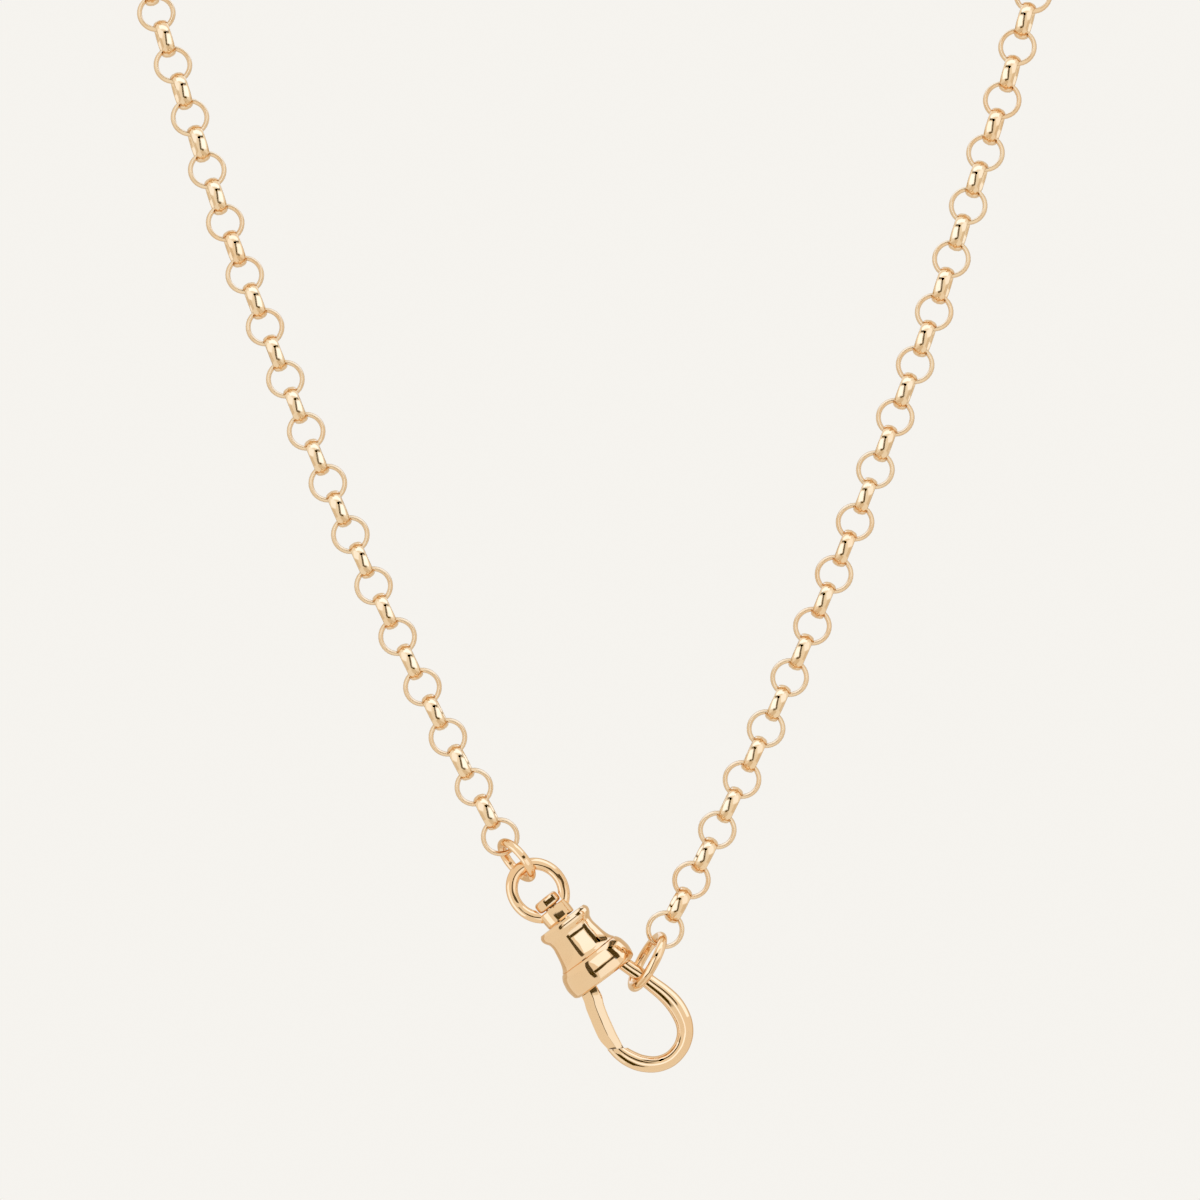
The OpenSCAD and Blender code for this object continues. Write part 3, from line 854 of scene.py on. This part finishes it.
class ROLO_OT_swivel(bpy.types.Operator):
    """Makes the oval swivel ring with its boss, and the button-headed rivet in it"""

    bl_idname = "rolo.swivel"
    bl_label = "Swivel"

    def execute(self, context):
        sizes, gap = context.scene.swivel_sizes, context.scene.clasp_sizes.gap
        ends, upright = joints_of_the_clasp(), askew_matrix()
        on_edge = Matrix.Rotation(math.radians(90), 4, "X")
        standing = upright @ Matrix.Translation((0, 0, ends["ring_z"])) @ on_edge
        loop = wire_ring(
            "swivel_loop", sizes.ring_od, sizes.ring_wire, standing, oval=sizes.oval, around=128, sides=40
        )
        ring = make_object("swivel_loop", loop)
        low, high = ends["boss_z"] - BOSS_SINK * gap, ends["boss_z"] + sizes.boss_h
        rise = high - low - 2 * BOSS_EDGE
        wall = [
            (sizes.boss_d / 2 - sizes.boss_bulge * (t - BULGE_UP) ** 2, low + BOSS_EDGE + rise * t)
            for t in (k / ARC_STEPS for k in range(ARC_STEPS + 1))
        ]
        foot, brim = sizes.boss_d / 2 - BOSS_EDGE, wall[-1][0] - BOSS_EDGE
        boss = [(0, low), (foot, low), *wall, (brim, high), (0, high)]
        carve(ring, "UNION", spun("boss", boss, upright, sides=64))
        bore, seat = sizes.shank_d / 2 + gap, sizes.head_d / 2 + gap
        seat_low, seat_high = high - SEAT_BITE, high + sizes.head_h + gap
        hollow = [
            (0, low - gap), (bore, low - gap), (bore, seat_low),
            (seat, seat_low), (seat, seat_high), (0, seat_high),
        ]
        carve(ring, "DIFFERENCE", spun("seat_and_bore", hollow, upright, sides=64))
        polish(ring, clasp_gold())
        stand_for(ring, "swivel_ring", "necklace")

        base, crown = ends["seat_z"] + gap, sizes.head_h * CROWN_SHARE
        arcs = [
            (sizes.head_d / 2 - crown + crown * math.cos(a), base + z + crown * math.sin(a))
            for z, start in ((crown, -90), (sizes.head_h - crown, 0))
            for a in (math.radians(start + 90 * k / ARC_STEPS) for k in range(ARC_STEPS + 1))
        ]
        bottom = context.scene.clasp_sizes.barrel_h - sizes.shank_depth
        shank = sizes.shank_d / 2
        outline = [(0, bottom), (shank, bottom), (shank, base), *arcs, (0, base + sizes.head_h)]
        rivet = make_object("button_rivet", spun("button_rivet", outline, upright, sides=64))
        polish(rivet, clasp_gold())
        stand_for(rivet, "swivel_rivet", "necklace")
        return {"FINISHED"}


def cut_the_tip(mesh, upwards):
    """Cuts a bar off along the slant where the gate meets the nose, and closes its end."""
    sizes = bpy.context.scene.clasp_sizes
    side, up = NOSE_ROW[0] * sizes.bow_reach, -NOSE_ROW[1] * sizes.bow_drop
    place = clasp_matrix() @ Matrix.Translation((side, 0, up)) @ Matrix.Rotation(sizes.nose_slant, 4, "Y")
    outward = Vector((0, 0, 1 if upwards else -1))
    bm = bmesh.new()
    bm.from_mesh(mesh)
    reach = CUT_REACH * sizes.gate_width
    near = {vert for vert in bm.verts if (vert.co - place.translation).length < reach}
    tip = list(near) + [part for part in bm.edges[:] + bm.faces[:] if near.issuperset(part.verts)]
    cut = bmesh.ops.bisect_plane(
        bm, geom=tip, plane_co=place @ (-outward * sizes.tip_gap / 2),
        plane_no=place.to_3x3() @ outward, clear_outer=True,
    )
    rim = [part for part in cut["geom_cut"] if isinstance(part, bmesh.types.BMEdge)]
    bmesh.ops.edgeloop_fill(bm, edges=rim)
    bmesh.ops.recalc_face_normals(bm, faces=bm.faces)
    bm.to_mesh(mesh)
    bm.free()
    return mesh


def pin_line(name, d, front, back):
    """A rod along the hinge, from front to back."""
    sizes = bpy.context.scene.clasp_sizes
    hinge = Matrix.Translation((-sizes.hinge_side, 0, sizes.hinge_up))
    backwards = Matrix.Rotation(math.radians(-90), 4, "X")
    return rod(name, d, front, back, clasp_matrix() @ hinge @ backwards)


class ROLO_OT_clasp_body(bpy.types.Operator):
    """Makes the turned barrel with the bent hook in it, slotted for the gate"""

    bl_idname = "rolo.clasp_body"
    bl_label = "Barrel and hook"

    def execute(self, context):
        sizes, swivel = context.scene.clasp_sizes, context.scene.swivel_sizes
        upright = clasp_matrix()
        rows = [(r * sizes.barrel_d / 2, h * sizes.barrel_h) for r, h in smooth_rows(BARREL_ROWS, steps=8)]
        radii, heights = zip(*rows)
        outline = [(0, 0)]
        near = [sizes.crease_up + CREASE_STEP * k for k in range(-CREASE_POINTS, CREASE_POINTS + 1)]
        for h in sorted([*heights, *near]):
            notch = sizes.crease * math.exp(-(((h - sizes.crease_up) / CREASE_SPREAD) ** 2))
            outline.append((np.interp(h, heights, radii) - notch, h))
        outline.append((0, sizes.barrel_h))
        body = make_object("barrel", spun("barrel", outline, upright, sides=160))
        angles = [2 * math.pi * k / HOOK_SIDES for k in range(HOOK_SIDES)]
        section = [(math.cos(a) / 2, math.sin(a) / 2) for a in angles]
        bar = swept("hook", bow_path(steps=10), section, upright)
        hook = make_object("hook", cut_the_tip(bar, upwards=True))

        gap, swing, half_gate = sizes.gap, math.tan(sizes.gate_swing), sizes.gate_width / 2
        wide = sizes.gate_depth / 2 + gap
        outer = sizes.hinge_side + half_gate + 2 * gap
        inner = sizes.hinge_side - half_gate - gap - (sizes.hinge_up + half_gate) * swing
        top = sizes.hinge_up + half_gate + gap
        carve(body, "DIFFERENCE", block("slot", (-outer, -wide, -gap), (-inner, wide, top), upright))
        front = -sizes.gate_depth / 2 - gap - sizes.pin_d
        carve(body, "DIFFERENCE", pin_line("pin_bore", sizes.pin_d + gap / 2, front, sizes.barrel_d))
        low, high = sizes.barrel_h - swivel.shank_depth - gap, sizes.barrel_h + gap
        carve(body, "DIFFERENCE", rod("shank_bore", swivel.shank_d + gap, low, high, askew_matrix()))
        for piece in (body, hook):
            polish(piece, clasp_gold(), sharp=30)
            stand_for(piece, "clasp_body", "necklace")
        return {"FINISHED"}


class ROLO_OT_gate(bpy.types.Operator):
    """Makes the lever that closes the hook, and finishes its hinge pin"""

    bl_idname = "rolo.gate"
    bl_label = "Gate"

    def execute(self, context):
        sizes = context.scene.clasp_sizes
        section = softened(GATE_SECTION, CORNER_SOFTNESS)
        root = (-sizes.hinge_side / sizes.bow_reach, -sizes.hinge_up / sizes.bow_drop, GATE_ROOT_WIDTH)
        path = [
            (side * sizes.bow_reach, -drop * sizes.bow_drop, width * sizes.gate_width)
            for side, drop, width in smooth_rows([root, *GATE_ROWS], steps=10)
        ]
        bar = swept("gate_lever", path, section, clasp_matrix())
        gate = make_object("gate_lever", cut_the_tip(bar, upwards=False))
        depth = sizes.gate_depth
        carve(gate, "UNION", pin_line("knuckle", sizes.gate_width, -depth / 2, depth / 2))
        carve(gate, "DIFFERENCE", pin_line("pin_hole", sizes.pin_d + sizes.gap, -depth, depth))
        polish(gate, clasp_gold())
        stand_for(gate, "gate", "gate")
        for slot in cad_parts["gate_pin"].material_slots:
            slot.material = clasp_gold()
        return {"FINISHED"}


# Stage


def hang_light(name, centre, right, up, row, receivers):
    """A soft light, a black flag or a dim shade, which only its own part of the necklace reflects."""
    sizes = bpy.context.scene.studio_stage
    turn, rise, wide, high, roll, brightness = row
    out = right.cross(up)
    turn, rise = math.radians(turn), math.radians(rise)
    way = (out * math.cos(turn) + right * math.sin(turn)) * math.cos(rise) + up * math.sin(rise)
    level = up.cross(way).normalized()
    lamp = bpy.data.lights.new(name, "AREA")
    lamp.shape = "RECTANGLE"
    lamp.size = 2 * sizes.light_distance * math.tan(math.radians(wide / 2))
    lamp.size_y = 2 * sizes.light_distance * math.tan(math.radians(high / 2))
    lamp.energy = brightness * math.pi * lamp.size * lamp.size_y
    if brightness > 0:
        lamp.color = sizes.softbox
    elif name.endswith("shade"):
        lamp.color = sizes.shade
    obj = bpy.data.objects.new(name, lamp)
    bpy.context.scene.collection.objects.link(obj)
    rolled = Matrix.Rotation(math.radians(roll), 4, "Z")
    obj.matrix_world = aim(centre + way * sizes.light_distance, level, way) @ rolled
    obj.visible_camera = False
    obj.light_linking.receiver_collection = receivers


class ROLO_OT_stage(bpy.types.Operator):
    """Makes the floor, the pale cloth tent and the camera"""

    bl_idname = "rolo.stage"
    bl_label = "Stage"

    def execute(self, context):
        scene, sizes = context.scene, context.scene.studio_stage
        half, low = sizes.floor_size / 2, -sizes.floor_drop
        corners = [(-half, -half, low), (half, -half, low), (half, half, low), (-half, half, low)]
        floor_mesh = bpy.data.meshes.new("floor")
        floor_mesh.from_pydata(corners, [], [(0, 1, 2, 3)])
        pale = bpy.data.materials.new("pale_floor")
        pale.use_nodes = True
        matt = pale.node_tree.nodes["Principled BSDF"]
        matt.inputs["Base Color"].default_value = (*sizes.floor, 1)
        matt.inputs["Roughness"].default_value = 0.9
        floor_mesh.materials.append(pale)
        make_object("floor", floor_mesh)

        world = bpy.data.worlds.new("cloth_tent")
        world.use_nodes = True
        world.node_tree.nodes["Background"].inputs["Color"].default_value = (*sizes.tent, 1)
        scene.world = world

        lens = bpy.data.cameras.new("camera")
        camera = make_object("camera", lens)
        side, front, up = (value * MM for value in VIEW_MIDDLE)
        camera.location = (side, front - sizes.camera_distance, up)
        camera.rotation_euler = (math.radians(90), 0, 0)
        lens.angle = 2 * math.atan(sizes.view_width / 2 / sizes.camera_distance)
        lens.clip_start = 0.01
        scene.camera = camera
        scene.view_settings.view_transform = "Standard"
        return {"FINISHED"}


class ROLO_OT_lights(bpy.types.Operator):
    """Hangs the soft lights, black flags and dim shades round each part of the necklace"""

    bl_idname = "rolo.lights"
    bl_label = "Lights"

    def execute(self, context):
        lean = context.scene.clasp_sizes.lean
        along, across = math.sin(lean), math.cos(lean)
        leaning = (Vector((across, 0, along)), Vector((-along, 0, across)))
        level = (Vector((1, 0, 0)), Vector((0, 0, 1)))
        left, right = Vector(LEFT_MIDDLE) * MM, Vector(RIGHT_MIDDLE) * MM
        clasp = clasp_matrix().translation
        for part, names, centre, axes, rows, side in (
            ("left", ["left_links"], left, level, ARM_LIGHTS, 1),
            ("right", ["right_links", "large_ring"], right, level, ARM_LIGHTS, -1),
            ("clasp", ["button_rivet", "barrel", "gate_lever"], clasp, leaning, CLASP_LIGHTS, 1),
            ("hook", ["hook"], clasp, leaning, HOOK_LIGHTS, 1),
            ("swivel", ["swivel_loop", "small_ring"], clasp, leaning, SWIVEL_LIGHTS, 1),
        ):
            receivers = bpy.data.collections.new(f"lit_{part}")
            for name in names:
                receivers.objects.link(bpy.data.objects[name])
            if part == "clasp":
                receivers.objects.link(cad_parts["gate_pin"])
            for name, (turn, rise, wide, high, roll, brightness) in rows.items():
                row = (side * turn, rise, wide, high, side * roll, brightness)
                hang_light(f"{part}_{name}", centre, *axes, row, receivers)
        return {"FINISHED"}


class ROLO_PT_panel(bpy.types.Panel):
    bl_idname = "ROLO_PT_panel"
    bl_label = "Rolo Chain"
    bl_space_type = "VIEW_3D"
    bl_region_type = "UI"
    bl_category = "Rolo Chain"

    def draw(self, context):
        for maker in MAKERS:
            self.layout.operator(maker.bl_idname)
        for key, group in SIZES.items():
            box = self.layout.box()
            for name in group.__annotations__:
                box.prop(getattr(context.scene, key), name)


SIZES = {
    "chain_sizes": ChainSizes,
    "ring_sizes": RingSizes,
    "clasp_sizes": ClaspSizes,
    "swivel_sizes": SwivelSizes,
    "gold_finish": GoldFinish,
    "studio_stage": StudioStage,
}
MAKERS = [
    ROLO_OT_stage, ROLO_OT_chain, ROLO_OT_jump_rings, ROLO_OT_swivel,
    ROLO_OT_clasp_body, ROLO_OT_gate, ROLO_OT_lights,
]
CLASSES = [*SIZES.values(), *MAKERS, ROLO_PT_panel]


def register():
    for each in CLASSES:
        bpy.utils.register_class(each)
    for key, group in SIZES.items():
        setattr(bpy.types.Scene, key, bpy.props.PointerProperty(type=group))


def unregister():
    for key in SIZES:
        delattr(bpy.types.Scene, key)
    for each in reversed(CLASSES):
        bpy.utils.unregister_class(each)


def main():
    register()
    bpy.ops.rolo.stage()
    bpy.ops.rolo.chain()
    bpy.ops.rolo.jump_rings()
    bpy.ops.rolo.swivel()
    bpy.ops.rolo.clasp_body()
    bpy.ops.rolo.gate()
    bpy.ops.rolo.lights()


if __name__ == "__main__":
    main()
